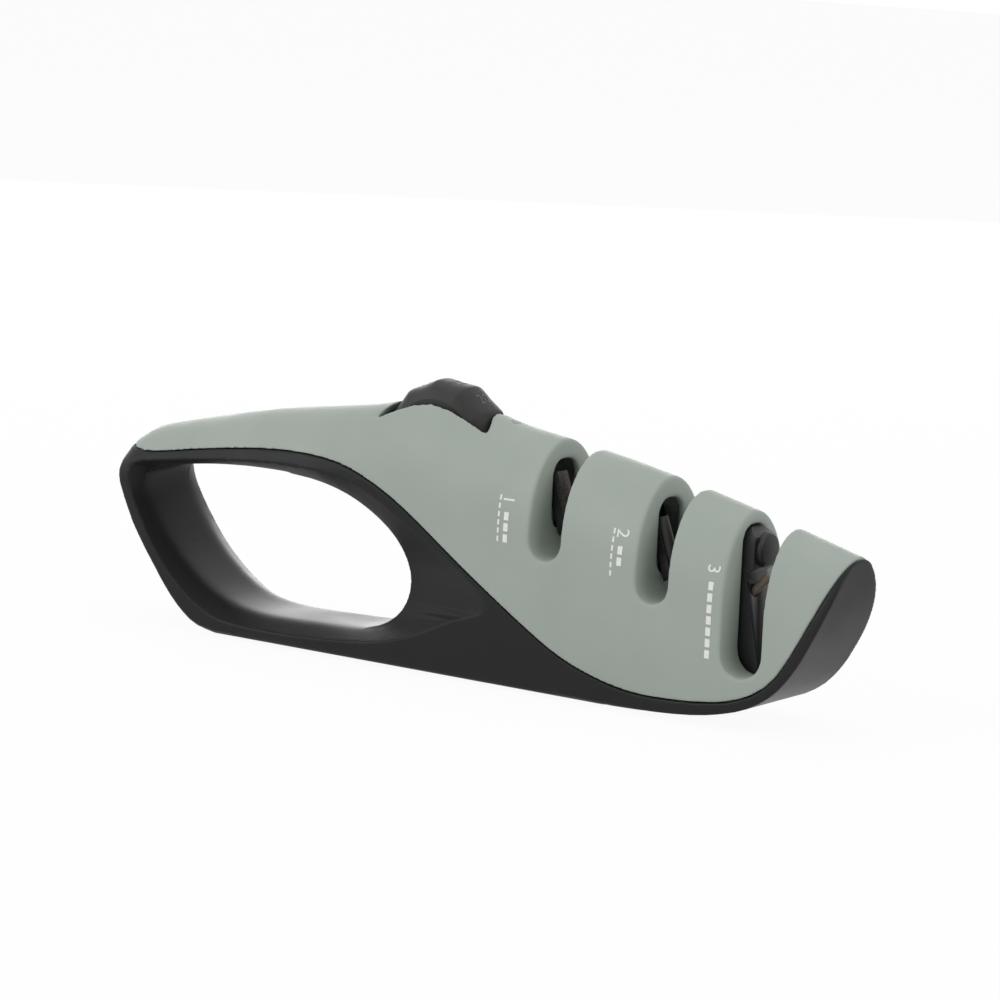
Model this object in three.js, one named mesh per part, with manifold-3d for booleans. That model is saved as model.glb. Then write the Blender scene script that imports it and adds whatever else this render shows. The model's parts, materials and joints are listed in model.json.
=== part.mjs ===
import * as THREE from 'three';
import { mergeVertices } from 'three/addons/utils/BufferGeometryUtils.js';
import Module from 'manifold-3d';

// Pull-through knife and scissor sharpener with a loop handle.
// Millimetres, +X to the nose, +Z up, origin at the bottom centre.

// Overall shape
const LENGTH = 215;
const WIDTH = 31;
const UNDERSIDE = 0.6;
const ARCH = 22;
const ARCH_REAR = 10;
const NOSE_TUCK = 3.5;
const REAR_TUCK = 2.5;
const NOSE_TUCK_RUN = 82.5;
const REAR_TUCK_RUN = 47.5;
const HUMP = 4.6;
const HUMP_SPREAD = 12.5;
const EDGE_ROUND = 2.1;
const WALL = 2.4;
const SEAM_GAP = 0.3;
const CLEAR = 0.3;
const SLACK = 0.4;

// Handle: flare of its hole, and where the grip starts from the rear end and ends from the nose
const HOLE_FLARE = 6.5;
const GRIP_REAR = 29.5;
const GRIP_FRONT = 127.5;

// Notches: distance of the centre from the nose, width, bottom, window bottom and top
const LINER = 1.8;
const COARSE_FROM_NOSE = 78.9;
const COARSE_WIDE = 9.2;
const COARSE_LOW = 33;
const COARSE_WINDOW = [39, 56];
const FINE_FROM_NOSE = 48.3;
const FINE_WIDE = 8.8;
const FINE_LOW = 26.8;
const FINE_WINDOW = [32, 50.3];
const SCISSOR_FROM_NOSE = 23.5;
const SCISSOR_WIDE = 10.8;
const SCISSOR_LOW = 12.5;
const SCISSOR_WINDOW = [12, 47];
const WINDOW_MORE = 0.8;
const WINDOW_FLAT = 1.2;

// Angle dial, its frame and the slide it drives
const DIAL_FROM_NOSE = 119;
const DIAL_Z = 54.5;
const DIAL_R = 17;
const SCALLOPS = 12;
const SCALLOP_DEEP = 0.9;
const SCALLOP_TURN = THREE.MathUtils.degToRad(5);
const DIAL_ROUND = 1.8;
const AXLE_R = 2;
const PLATE = 1.8;
const WASHER = 0.34;
const SHELF_Z = 33;
const FRAME_BASE = 2;
const LEVER = 8;
const DIAL_PER_ARM = 15;
const DIAL_BACK = -Math.PI / 2;
const DIAL_ON = Math.PI / 3;
const FOLLOWER_X = 9;
const FOLLOWER_Z = -5.5;
const FOLLOWER_R = 1;
const GROOVE_DEEP = 2;
const BAR_Z = 27.2;
const BAR_HALF = 2.8;

// Sharpening arms
const V_HALF_ANGLE = THREE.MathUtils.degToRad(20);
const COARSE_CROSS = 8.5;
const FINE_CROSS = 7.7;
const STONE_THICK = 1.6;
const FINE_ROD_IN = 0.45;
const FINGER = 2.6;
const KNOB_R = 2.8;
const STONE_UP = 12.5;
const STONE_DOWN = 3.5;
const PIVOT_OUT = 3.6;
const COARSE_PIVOT_Z = 36;
const FINE_PIVOT_Z = 30;
const PIVOT_R = 1.5;
const ARM_R = 2.4;
const LAYER_IN = 0.3;
const SIDE_ROOM = 11.1;
const TAIL = 5.5;
const PEG_R = 1.2;

// Floor, brackets and springs
const FLOOR = 4.2;
const SEAT_Z = 8;
const BASE = 2;
const SPRING_R = 1.6;
const WIRE_R = 0.35;
const SPRING_TURNS = 6;

// Scissor stage: a holder with a round guide on its head and a slanted rod below
const HOLDER_LEAN = THREE.MathUtils.degToRad(12);
const HEAD_LOW = 37;
const HEAD_HIGH = 44.5;
const HEAD_SET = 2.8;
const GUIDE_IN = 0.6;
const GUIDE_Z = 41.3;
const GUIDE_OUT = 1.6;
const ROD_TILT = THREE.MathUtils.degToRad(45);
const ROD_R = 1.1;
const ROD_LONG = 7;
const ROD_SEAT = 2;
const ROD_Y = -1.5;
const ROD_Z = 31.6;
const SCISSOR_SCREW_Y = 3;

// Screws and pad
const HEAD_R = 2.4;
const HEAD_H = 1.6;
const SHANK_R = 1.1;
const BOSS_R = 2.8;
const SIDE_SCREW_IN = 5.1;
const NOSE_SCREW_IN = 5.8;
const COVER_BITE = 7;
const FLOOR_SCREW = 6;
const SCISSOR_SCREW = 5;
const PAD_HALF = 6;
const PAD_THICK = 1.6;
const PAD_REAR = 41.5;
const PAD_FRONT = 63.5;

// Sampling
const ROUND_STEPS = 7;
const END_STEPS = 3;
const WELD = 1e-4;
const TALL = 95;

// Places along the length
const HALF = LENGTH / 2;
const COARSE_X = HALF - COARSE_FROM_NOSE;
const FINE_X = HALF - FINE_FROM_NOSE;
const SCISSOR_X = HALF - SCISSOR_FROM_NOSE;
const DIAL_X = HALF - DIAL_FROM_NOSE;
const grip = (t) => THREE.MathUtils.lerp(-HALF + GRIP_REAR, HALF - GRIP_FRONT, t);

// Places across the width, from the arms outwards
const HALF_W = WIDTH / 2;
const LAYER_OUT = HALF_W - SIDE_ROOM;
const CHEEK_IN = LAYER_OUT + 2 * CLEAR;
const CHEEK_OUT = CHEEK_IN + PLATE;
const plateIn = CHEEK_OUT + 2 * CLEAR;
const plateOut = plateIn + PLATE;
const DIAL_HALF = plateIn - SLACK;
const WINDOW_HALF = LAYER_OUT + WINDOW_MORE;
const WINDOW_ROUND = WINDOW_HALF - WINDOW_FLAT;
const HOLDER_HALF = WINDOW_HALF - SLACK;
const GUIDE_R = HOLDER_HALF - GUIDE_IN;
const group = new THREE.Group();
const wasm = await Module();
wasm.setup();

function solid(geometry) {
  const bare = geometry.index ? geometry.toNonIndexed() : geometry.clone();
  bare.deleteAttribute('normal');
  bare.deleteAttribute('uv');
  const merged = mergeVertices(bare, WELD);
  const kept = [];
  const index = merged.index.array;
  for (let i = 0; i < index.length; i += 3) {
    const [a, b, c] = [index[i], index[i + 1], index[i + 2]];
    if (a !== b && b !== c && a !== c) kept.push(a, b, c);
  }
  const vertProperties = new Float32Array(merged.attributes.position.array);
  const close = (triVerts) => new wasm.Manifold(new wasm.Mesh({ numProp: 3, vertProperties, triVerts }));
  const made = close(new Uint32Array(kept));
  return made.volume() > 0 ? made : close(new Uint32Array(kept.reverse()));
}

const join = (...all) => all.reduce((a, b) => a.add(b));
const cut = (a, ...all) => all.reduce((x, y) => x.subtract(y), a);
const both = (...all) => all.reduce((a, b) => a.intersect(b));

function polygon(points) {
  return new THREE.Shape(points.map(([x, y]) => new THREE.Vector2(x, y)));
}

function disc(x, y, r) {
  return new THREE.Shape().absarc(x, y, r, 0, Math.PI * 2);
}

function capsule(x0, y0, x1, y1, r) {
  const a = Math.atan2(y1 - y0, x1 - x0);
  const shape = new THREE.Shape();
  shape.absarc(x1, y1, r, a - Math.PI / 2, a + Math.PI / 2);
  shape.absarc(x0, y0, r, a + Math.PI / 2, a + Math.PI * 1.5);
  return shape;
}

function prismZ(shape, z0, z1, curveSegments = ROUND_STEPS) {
  const made = new THREE.ExtrudeGeometry(shape, { depth: z1 - z0, bevelEnabled: false, curveSegments });
  return solid(made.translate(0, 0, z0));
}

function prismY(shape, y0, y1, curveSegments = ROUND_STEPS) {
  const made = new THREE.ExtrudeGeometry(shape, { depth: y1 - y0, bevelEnabled: false, curveSegments });
  return solid(made.rotateX(Math.PI / 2).translate(0, y1, 0));
}

function box(x0, x1, y0, y1, z0, z1) {
  return prismZ(polygon([[x0, y0], [x1, y0], [x1, y1], [x0, y1]]), z0, z1);
}

// Shape across the length: its x becomes y and its y becomes z.
function prismX(shape, x0, x1, curveSegments = ROUND_STEPS) {
  const made = new THREE.ExtrudeGeometry(shape, { depth: x1 - x0, bevelEnabled: false, curveSegments });
  return solid(made.rotateX(Math.PI / 2).rotateZ(Math.PI / 2).translate(x0, 0, 0));
}

function rounded(half, low, high, r) {
  const quarter = Math.PI / 2;
  const shape = new THREE.Shape();
  shape.absarc(half - r, low + r, r, -quarter, 0);
  shape.absarc(half - r, high - r, r, 0, quarter);
  shape.absarc(-half + r, high - r, r, quarter, 2 * quarter);
  shape.absarc(-half + r, low + r, r, 2 * quarter, 3 * quarter);
  return shape;
}

const pinY = (x, z, r, y0, y1) => prismY(disc(x, z, r), y0, y1);
const postZ = (x, y, r, z0, z1) => prismZ(disc(x, y, r), z0, z1);

// A smooth curve z(x) through a few points.
function through(points) {
  const slope = points.map((p, i) => {
    const a = points[Math.max(i - 1, 0)];
    const b = points[Math.min(i + 1, points.length - 1)];
    return (b[1] - a[1]) / (b[0] - a[0]);
  });
  return (x) => {
    let i = 0;
    while (i < points.length - 2 && x > points[i + 1][0]) i += 1;
    const span = points[i + 1][0] - points[i][0];
    const t = THREE.MathUtils.clamp((x - points[i][0]) / span, 0, 1);
    const [s, q] = [t * t, t * t * t];
    const from = (2 * q - 3 * s + 1) * points[i][1] + (q - 2 * s + t) * span * slope[i];
    return from + (3 * s - 2 * q) * points[i + 1][1] + (q - s) * span * slope[i + 1];
  };
}

const ridgeLine = through([
  [-HALF - 1, 43.4], [-HALF + 0.7, 46], [-HALF + 3, 48.3], [-HALF + 6.5, 50], [-HALF + 17, 52.6],
  [-HALF + 30.5, 55.7], [grip(0.345), 59.3], [grip(0.828), 63.1], [HALF - 119.5, 64.2], [HALF - 102, 63.1],
  [HALF - 74.5, 59.5], [HALF - 50.5, 55], [HALF - 29, 50.2], [HALF - 9, 45.2], [HALF, 42.8], [HALF + 1, 42.5],
]);
const ridge = (x) => ridgeLine(x) + HUMP * Math.exp(-(((x - DIAL_X) / HUMP_SPREAD) ** 2));

const seamLine = through([
  [-HALF - 5, 46.8], [-HALF + 1, 45.7], [-HALF + 3.3, 44.8], [-HALF + 6.7, 44.3], [-HALF + 10.5, 44.4],
  [-HALF + 16.2, 45.2], [-HALF + 25, 46.7], [grip(0.293), 49.5], [grip(0.569), 50.1], [grip(0.81), 48.4],
  [HALF - 124.5, 42.7], [HALF - 100.5, 27],
  [HALF - 82.5, 15.8], [HALF - 73, 10.7], [HALF - 63.5, 7.4], [HALF - 53.5, 5.3], [HALF - 44.5, 5],
  [HALF - 35.5, 5.4], [HALF - 27.5, 6.5], [HALF - 21, 8.7], [HALF - 15.5, 12.5], [HALF - 12, 17.2],
  [HALF - 7.6, 25.1],
  [HALF - 4.2, 32.5], [HALF - 2, 38.5], [HALF - 0.5, 42.5], [HALF + 5, 60],
]);

const towardsNose = (x) => Math.max(0, (x - HALF) / NOSE_TUCK_RUN + 1) ** 2;
const towardsRear = (x) => Math.max(0, (-HALF - x) / REAR_TUCK_RUN + 1) ** 2;
const halfWidth = (x) => HALF_W - NOSE_TUCK * towardsNose(x) - REAR_TUCK * towardsRear(x);
const arch = (x) => THREE.MathUtils.lerp(ARCH, ARCH_REAR, towardsRear(x));

// Joins equal rings of points into one closed skin.
function loft(rings) {
  const count = rings[0].length;
  const position = rings.flat(2);
  const index = [];
  for (let k = 0; k < rings.length - 1; k += 1) {
    for (let i = 0; i < count; i += 1) {
      const [a, b] = [k * count + i, k * count + ((i + 1) % count)];
      index.push(a, b, b + count, a, b + count, a + count);
    }
  }
  const upright = rings[0].every(([x]) => Math.abs(x - rings[0][0][0]) < WELD);
  const flat = rings[0].map(([x, y, z]) => new THREE.Vector2(upright ? y : x, z));
  const last = (rings.length - 1) * count;
  for (const face of THREE.ShapeUtils.triangulateShape(flat, [])) {
    const same = THREE.ShapeUtils.area(face.map((i) => flat[i])) * THREE.ShapeUtils.area(flat) > 0;
    const [a, b, c] = same ? face : [...face].reverse();
    index.push(c, b, a, last + a, last + b, last + c);
  }
  const made = new THREE.BufferGeometry();
  made.setAttribute('position', new THREE.Float32BufferAttribute(position, 3));
  made.setIndex(index);
  return solid(made);
}

// The arched hood, set in by a wall, open-ended well below the underside.
function hood(inset, stations, arcs) {
  const rings = [];
  for (let k = 0; k <= stations; k += 1) {
    const u = 2 * k / stations - 1;
    const x = (HALF + 1) * (0.6 * u + 0.4 * Math.sin(u * Math.PI / 2));
    const w = halfWidth(x) - inset;
    const spring = ridge(x) - inset - arch(x);
    const ring = [[x, -w, -10]];
    for (let i = 0; i <= arcs; i += 1) {
      const a = Math.PI * (1 - i / arcs);
      ring.push([x, w * Math.cos(a), spring + arch(x) * Math.sin(a)]);
    }
    ring.push([x, w, -10]);
    rings.push(ring);
  }
  return loft(rings);
}

// Side outline of the whole body, with rounded long edges.
function sideBlock() {
  const outline = new THREE.Shape();
  const bend = (points) => outline.splineThru(points.map(([x, z]) => new THREE.Vector2(x, z)));
  outline.moveTo(-HALF, TALL);
  outline.lineTo(-HALF, 42);
  bend([[-HALF + 0.6, 37.5], [-HALF + 3.7, 30.5], [-HALF + 8, 23.4], [-HALF + 13.6, 16.3],
    [-HALF + 18.9, 10], [-HALF + 23.9, 5.2], [-HALF + 29, 2], [-HALF + 35.5, UNDERSIDE]]);
  outline.lineTo(HALF - 61.5, UNDERSIDE);
  bend([[HALF - 49.5, 0.9], [HALF - 38.5, 1.6], [HALF - 29.5, 3], [HALF - 21.5, 5.4], [HALF - 15.5, 9],
    [HALF - 11, 13.7], [HALF - 7, 20], [HALF - 3.5, 27.3], [HALF - 1.1, 34.6], [HALF, 42]]);
  outline.lineTo(HALF, TALL);
  const depth = WIDTH + 0.2 - 2 * EDGE_ROUND;
  const made = new THREE.ExtrudeGeometry(outline, {
    depth, curveSegments: 2, bevelEnabled: true, bevelThickness: EDGE_ROUND, bevelSize: EDGE_ROUND,
    bevelOffset: -EDGE_ROUND, bevelSegments: 3,
  });
  return solid(made.rotateX(Math.PI / 2).translate(0, depth / 2, 0));
}

// Everything above the seam, the seam moved along its normal by a gap.
function aboveSeam(gap) {
  const points = [];
  const steps = 62;
  for (let k = 0; k <= steps; k += 1) {
    const u = 2 * k / steps - 1;
    const x = (HALF + 4) * (0.6 * u + 0.4 * Math.sin(u * Math.PI / 2));
    const slope = (seamLine(x + 0.05) - seamLine(x - 0.05)) / 0.1;
    const run = Math.hypot(1, slope);
    points.push([x + gap * slope / run, seamLine(x) - gap / run]);
  }
  points.push([HALF + 9, TALL], [-HALF - 9, TALL]);
  return prismY(polygon(points), -HALF_W - 5, HALF_W + 5);
}

// Hand hole: straight in the middle, flaring out to both sides.
function ringThrough(points, y, grow) {
  const closed = [...points, points[0], points[1]];
  const curve = new THREE.SplineCurve(closed.map(([x, z]) => new THREE.Vector2(x, z)));
  const steps = 54;
  const ring = [];
  for (let k = 0; k < steps; k += 1) {
    const t = k / steps * points.length / (points.length + 1);
    const at = curve.getPoint(t);
    const go = curve.getTangent(t);
    ring.push([at.x - go.y * grow, y, at.y + go.x * grow]);
  }
  return ring;
}

const holeInner = [[-HALF + 10.3, 40.3], [grip(0), 42.9], [grip(0.31), 43.7], [grip(0.586), 42.7],
  [grip(0.81), 38.8], [grip(1), 31.6], [HALF - 122.4, 22.5], [HALF - 125, 13.6], [grip(0.879), 8.2],
  [grip(0.552), 7], [grip(0.241), 7], [-HALF + 31, 10], [-HALF + 19, 18],
  [-HALF + 9.8, 28.5], [-HALF + 6.6, 35.5]];
const holeRim = [[-HALF + 5.5, 42.6], [-HALF + 27.5, 45.4], [grip(0.31), 47.2], [grip(0.586), 47.2],
  [grip(0.845), 45], [HALF - 116.5, 34.9], [HALF - 94.5, 20.6], [HALF - 105.5, 14.5], [HALF - 123.5, 7.1],
  [grip(0.655), 4.2], [grip(0.207), 4.1], [grip(0), 7.2], [-HALF + 16.8, 16.6],
  [-HALF + 7.6, 28.9], [-HALF + 3.4, 38]];

function handHole(thicken) {
  const outer = HALF_W - thicken;
  const inner = outer - HOLE_FLARE;
  const past = HALF_W + 4;
  return loft([
    ringThrough(holeRim, -past, thicken), ringThrough(holeRim, -outer, thicken),
    ringThrough(holeInner, -inner, thicken), ringThrough(holeInner, inner, thicken),
    ringThrough(holeRim, outer, thicken), ringThrough(holeRim, past, thicken),
  ]);
}

function notch(x, wide, low, grow) {
  const r = wide / 2 + grow;
  const shape = new THREE.Shape();
  shape.moveTo(x - r, TALL);
  shape.lineTo(x - r, low - grow + r);
  shape.absarc(x, low - grow + r, r, Math.PI, Math.PI * 2);
  shape.lineTo(x + r, TALL);
  return prismY(shape, -HALF_W - 2, HALF_W + 2, ROUND_STEPS);
}

function add(name, made, colour, roughness, metalness) {
  const mesh = made.getMesh();
  const geometry = new THREE.BufferGeometry();
  geometry.setAttribute('position', new THREE.BufferAttribute(new Float32Array(mesh.vertProperties), 3));
  geometry.setIndex(new THREE.BufferAttribute(new Uint32Array(mesh.triVerts), 1));
  const material = new THREE.MeshStandardMaterial({ color: colour, roughness, metalness });
  const node = new THREE.Mesh(geometry, material);
  node.name = name;
  group.add(node);
}

const GREEN = [0x9ea89f, 0.6, 0];
const BLACK = [0x363636, 0.6, 0];
const DARK = [0x1f1f20, 0.5, 0];
const RUBBER = [0x2a2a2a, 0.9, 0];
const STEEL = [0xb5b7ba, 0.35, 1];
const GRIT = [0x8d8f8e, 0.8, 0.6];
const CERAMIC = [0xd9d4c8, 0.55, 0];
const BROWN = [0x7a6c60, 0.6, 0];

// Shared shell solids
const envelope = both(hood(0, 46, 20), sideBlock());
const hollow = hood(WALL, 22, 10);
const frontInside = [[HALF - 37.5, FLOOR + 0.4], [HALF - 25.5, 6.6], [HALF - 19, 9.6],
  [HALF - 13.5, 15.8], [HALF - 8.5, 26], [HALF - 5.5, 36], [HALF - 4.5, TALL]];
const shelfLeft = DIAL_X - 5.5;
const shelfRight = DIAL_X + 5.5;
const chamber = polygon([[shelfLeft, TALL], [shelfLeft, SHELF_Z], [shelfRight, SHELF_Z], [shelfRight, FLOOR],
  [HALF - 61.5, FLOOR], ...frontInside]);
const capInside = polygon([[-HALF + 10, TALL], [-HALF + 10, SHELF_Z], [shelfRight, FLOOR], [HALF - 61.5, FLOOR],
  ...frontInside]);
const dialSpace = pinY(DIAL_X, DIAL_Z, DIAL_R + 2 * SLACK, -DIAL_HALF - 0.6, DIAL_HALF + 0.6);

// Cover screws stand beside the mechanism: x, y and the height their heads bear on
const sideScrewY = HALF_W - SIDE_SCREW_IN;
const noseScrewY = HALF_W - NOSE_SCREW_IN;
const coverScrews = [[HALF - 98, -sideScrewY, 3.4], [HALF - 63.7, -sideScrewY, 3.4],
  [HALF - 34.3, -noseScrewY, 4.6], [HALF - 34.3, noseScrewY, 4.6]];
const bossMeet = (x) => seamLine(x) + 3;

// Tongues under the handle cap
const tongues = [[-HALF + 18, 4], [grip(0.448), 5]];
const TONGUE_HALF = 2;

function makeCover() {
  const over = both(envelope, aboveSeam(0));
  let cover = cut(over, both(hollow, prismY(capInside, -HALF_W, HALF_W)));
  const stages = [[COARSE_X, COARSE_WIDE, COARSE_LOW], [FINE_X, FINE_WIDE, FINE_LOW],
    [SCISSOR_X, SCISSOR_WIDE, SCISSOR_LOW]];
  for (const [x, wide, low] of stages) cover = join(cover, both(over, notch(x, wide, low, LINER)));
  for (const [x, y] of coverScrews) {
    const post = postZ(x, y, BOSS_R, bossMeet(x), TALL);
    cover = join(cover, both(envelope, post));
  }
  for (const [x, half] of tongues) {
    const foot = seamLine(x) - 2;
    cover = join(cover, both(envelope, box(x - TONGUE_HALF, x + TONGUE_HALF, -half, half, foot, TALL)));
  }
  for (const [x, wide, low] of stages) cover = cut(cover, notch(x, wide, low, 0));
  const windows = [[COARSE_X, COARSE_WIDE, COARSE_WINDOW], [FINE_X, FINE_WIDE, FINE_WINDOW]];
  for (const [x, wide, [low, high]] of windows) {
    const reach = wide / 2 + LINER + 0.1;
    const opening = rounded(WINDOW_HALF, low, high, WINDOW_ROUND);
    cover = cut(cover, prismX(opening, x - reach, x + reach, END_STEPS));
  }
  const left = SCISSOR_X - SCISSOR_WIDE / 2 - LINER - 0.1;
  const right = SCISSOR_X + SCISSOR_WIDE / 2 + 0.9;
  const [low, high] = SCISSOR_WINDOW;
  cover = cut(cover, prismX(rounded(WINDOW_HALF, low, high, WINDOW_ROUND), left, SCISSOR_X, END_STEPS));
  cover = cut(cover, box(left, right, -WINDOW_HALF, WINDOW_HALF, SEAT_Z - 1, SCISSOR_LOW + 3));
  cover = cut(cover, dialSpace);
  for (const [x, y] of coverScrews) {
    cover = cut(cover, postZ(x, y, SHANK_R + CLEAR, bossMeet(x) - 1, bossMeet(x) + 9));
    cover = cut(cover, postZ(x, y, BOSS_R + CLEAR, UNDERSIDE, bossMeet(x)));
  }
  return cover;
}

// Seats in the floor for the brackets: x, y
const coarseSeats = [[COARSE_X - 6.5, 0], [COARSE_X + 6.5, 0]];
const fineSeats = [[FINE_X - 5.5, 0], [FINE_X + 5.5, 0]];
const scissorSeats = [[SCISSOR_X - 3.5, -SCISSOR_SCREW_Y], [SCISSOR_X - 3.5, SCISSOR_SCREW_Y]];
const frameSeatY = plateIn - HEAD_R;
const frameSeats = [[DIAL_X + 2.2, -frameSeatY], [DIAL_X + 2.2, frameSeatY]];

function makeBody() {
  const under = cut(envelope, aboveSeam(SEAM_GAP));
  const room = cut(both(hollow, prismY(chamber, -HALF_W, HALF_W)), handHole(WALL));
  let body = cut(under, room);
  for (const [x, y] of [...coarseSeats, ...fineSeats]) {
    body = join(body, postZ(x, y, 3.4, FLOOR - 1, SEAT_Z));
  }
  for (const [x, y] of scissorSeats) body = join(body, both(envelope, postZ(x, y, 2.6, FLOOR - 1, SEAT_Z)));
  for (const [x, y] of coverScrews) {
    body = join(body, both(envelope, postZ(x, y, BOSS_R, UNDERSIDE + 1, bossMeet(x) - SEAM_GAP)));
  }
  const frameRoom = box(shelfLeft, shelfRight, -plateOut - SLACK, plateOut + SLACK, SHELF_Z, TALL);
  body = cut(body, handHole(0), dialSpace, frameRoom);
  for (const [x, y, seat] of coverScrews) {
    body = cut(body, postZ(x, y, SHANK_R + CLEAR, UNDERSIDE - 1, TALL));
    body = cut(body, postZ(x, y, HEAD_R + CLEAR, UNDERSIDE - 1, seat));
  }
  for (const [x, y] of scissorSeats) {
    body = cut(body, postZ(x, y, SHANK_R + CLEAR, UNDERSIDE - 1, TALL));
    body = cut(body, postZ(x, y, HEAD_R + CLEAR, UNDERSIDE - 1, scissorHeadSeat));
  }
  for (const [x, y] of [...coarseSeats, ...fineSeats]) {
    body = cut(body, postZ(x, y, SHANK_R + CLEAR, FLOOR - 1, TALL));
  }
  for (const [x, y] of frameSeats) body = cut(body, postZ(x, y, SHANK_R + CLEAR, SHELF_Z - 5, TALL));
  for (const [x, half] of tongues) {
    const foot = seamLine(x) - 2 - SLACK;
    const reach = TONGUE_HALF + SLACK;
    body = cut(body, box(x - reach, x + reach, -half - SLACK, half + SLACK, foot, TALL));
  }
  return cut(body, prismZ(padShape(CLEAR), UNDERSIDE - 1, PAD_THICK));
}

const scissorHeadSeat = 6;

function padShape(grow) {
  const r = PAD_HALF + grow;
  return capsule(-HALF + PAD_REAR + PAD_HALF, 0, HALF - PAD_FRONT - PAD_HALF, 0, r);
}

// A screw with a cross recess. The head stands above the seat, or below it when turned over.
function screw(x, y, seat, long, turned) {
  const up = turned ? -1 : 1;
  const profile = [[0, -long], [SHANK_R * 0.6, -long], [SHANK_R, -long + 1], [SHANK_R, 0], [HEAD_R, 0],
    [HEAD_R, HEAD_H * 0.6], [HEAD_R * 0.75, HEAD_H], [0, HEAD_H]];
  const points = profile.map(([r, z]) => new THREE.Vector2(r, up * z));
  const turn = solid(new THREE.LatheGeometry(points, 12).rotateX(Math.PI / 2).translate(x, y, seat));
  const arm = HEAD_R * 0.55;
  const slotHalf = 0.3;
  const [low, high] = [seat + up * HEAD_H * 0.4, seat + up * (HEAD_H + 1)].sort((p, q) => p - q);
  return cut(turn, box(x - arm, x + arm, y - slotHalf, y + slotHalf, low, high),
    box(x - slotHalf, x + slotHalf, y - arm, y + arm, low, high));
}

add('top_cover', makeCover(), ...GREEN);
add('lower_body', makeBody(), ...BLACK);
add('base_pad', prismZ(padShape(0), 0, PAD_THICK), ...RUBBER);
coverScrews.forEach(([x, y, seat], i) => {
  const long = bossMeet(x) + COVER_BITE - seat;
  add(`cover_screw_${i + 1}`, screw(x, y, seat, long, true), ...STEEL);
});

// Dial: scalloped rim, axle bore and a spiral groove that moves the slide.
const SLIDE_PER_TURN = LEVER / DIAL_PER_ARM;

function makeDial() {
  const shape = new THREE.Shape();
  const steps = SCALLOPS * 6;
  for (let k = 0; k < steps; k += 1) {
    const a = 2 * Math.PI * k / steps;
    const dip = Math.abs(Math.cos((a - SCALLOP_TURN) * SCALLOPS / 2));
    const r = DIAL_R - SCALLOP_DEEP * dip - DIAL_ROUND;
    if (k === 0) shape.moveTo(r * Math.cos(a), r * Math.sin(a));
    else shape.lineTo(r * Math.cos(a), r * Math.sin(a));
  }
  const depth = 2 * DIAL_HALF - 2 * DIAL_ROUND;
  const rim = new THREE.ExtrudeGeometry(shape, {
    depth, bevelEnabled: true, bevelThickness: DIAL_ROUND, bevelSize: DIAL_ROUND, bevelSegments: 3, steps: 1,
  });
  const wheel = solid(rim.rotateX(Math.PI / 2).translate(DIAL_X, depth / 2, DIAL_Z));
  const lines = [[], []];
  const margin = 0.2;
  const turns = 24;
  for (let k = 0; k <= turns; k += 1) {
    const a = THREE.MathUtils.lerp(DIAL_BACK - margin, DIAL_ON + margin, k / turns);
    const x = FOLLOWER_X + SLIDE_PER_TURN * a;
    const r = Math.hypot(x, FOLLOWER_Z);
    const at = Math.atan2(FOLLOWER_Z, x) + a;
    [FOLLOWER_R + SLACK, -FOLLOWER_R - SLACK].forEach((side, i) => {
      lines[i].push([DIAL_X + (r + side) * Math.cos(at), DIAL_Z + (r + side) * Math.sin(at)]);
    });
  }
  const groove = prismY(polygon([...lines[0], ...lines[1].reverse()]), DIAL_HALF - GROOVE_DEEP, DIAL_HALF + 1);
  return cut(wheel, groove, pinY(DIAL_X, DIAL_Z, AXLE_R + CLEAR, -DIAL_HALF - 1, DIAL_HALF + 1));
}

add('angle_dial', makeDial(), ...DARK);

const axleHead = 0.6;
add('dial_axle', join(pinY(DIAL_X, DIAL_Z, AXLE_R, -plateOut - axleHead, plateOut + SLACK),
  pinY(DIAL_X, DIAL_Z, AXLE_R + 0.6, -plateOut - axleHead, -plateOut)), ...STEEL);
add('dial_washer', cut(pinY(DIAL_X, DIAL_Z, AXLE_R + 3, -plateIn, -plateIn + WASHER),
  pinY(DIAL_X, DIAL_Z, AXLE_R + CLEAR, -plateIn - 1, -plateIn + 1)), ...STEEL);

function makeFrame() {
  const half = 4.5;
  const low = SHELF_Z + FRAME_BASE / 2;
  const leaf = capsule(DIAL_X, low + half, DIAL_X, DIAL_Z - 1.5, half);
  const sides = join(prismY(leaf, -plateOut, -plateIn, END_STEPS), prismY(leaf, plateIn, plateOut, END_STEPS));
  const base = box(DIAL_X - half, DIAL_X + half, -plateOut, plateOut, SHELF_Z, SHELF_Z + FRAME_BASE);
  let frame = join(base, sides);
  const feet = box(DIAL_X - half, DIAL_X + half, -plateOut, plateOut, SHELF_Z, TALL);
  frame = both(frame, feet);
  frame = cut(frame, pinY(DIAL_X, DIAL_Z, AXLE_R + CLEAR, -plateOut - 1, plateOut + 1));
  for (const [x, y] of frameSeats) frame = cut(frame, postZ(x, y, SHANK_R + CLEAR, SHELF_Z - 1, SHELF_Z + 3));
  return frame;
}

add('dial_frame', makeFrame(), ...DARK);
frameSeats.forEach(([x, y], i) => {
  add(`frame_screw_${i + 1}`, screw(x, y, SHELF_Z + FRAME_BASE, FLOOR_SCREW, false), ...STEEL);
});

// Pivots and drive pegs of the coarse stage
const pivotOut = (wide) => wide / 2 + LINER + PIVOT_OUT;
const coarsePivot = [COARSE_X - pivotOut(COARSE_WIDE), COARSE_X + pivotOut(COARSE_WIDE)];
const finePivot = [FINE_X - pivotOut(FINE_WIDE), FINE_X + pivotOut(FINE_WIDE)];
const pegs = [[coarsePivot[0] - TAIL, COARSE_PIVOT_Z - LEVER],
  [coarsePivot[1] + TAIL, COARSE_PIVOT_Z + LEVER]];
const guides = [[COARSE_X - 6, BAR_Z], [COARSE_X + 6, BAR_Z]];
const slideIn = plateIn;
const slideOut = plateOut;

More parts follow.
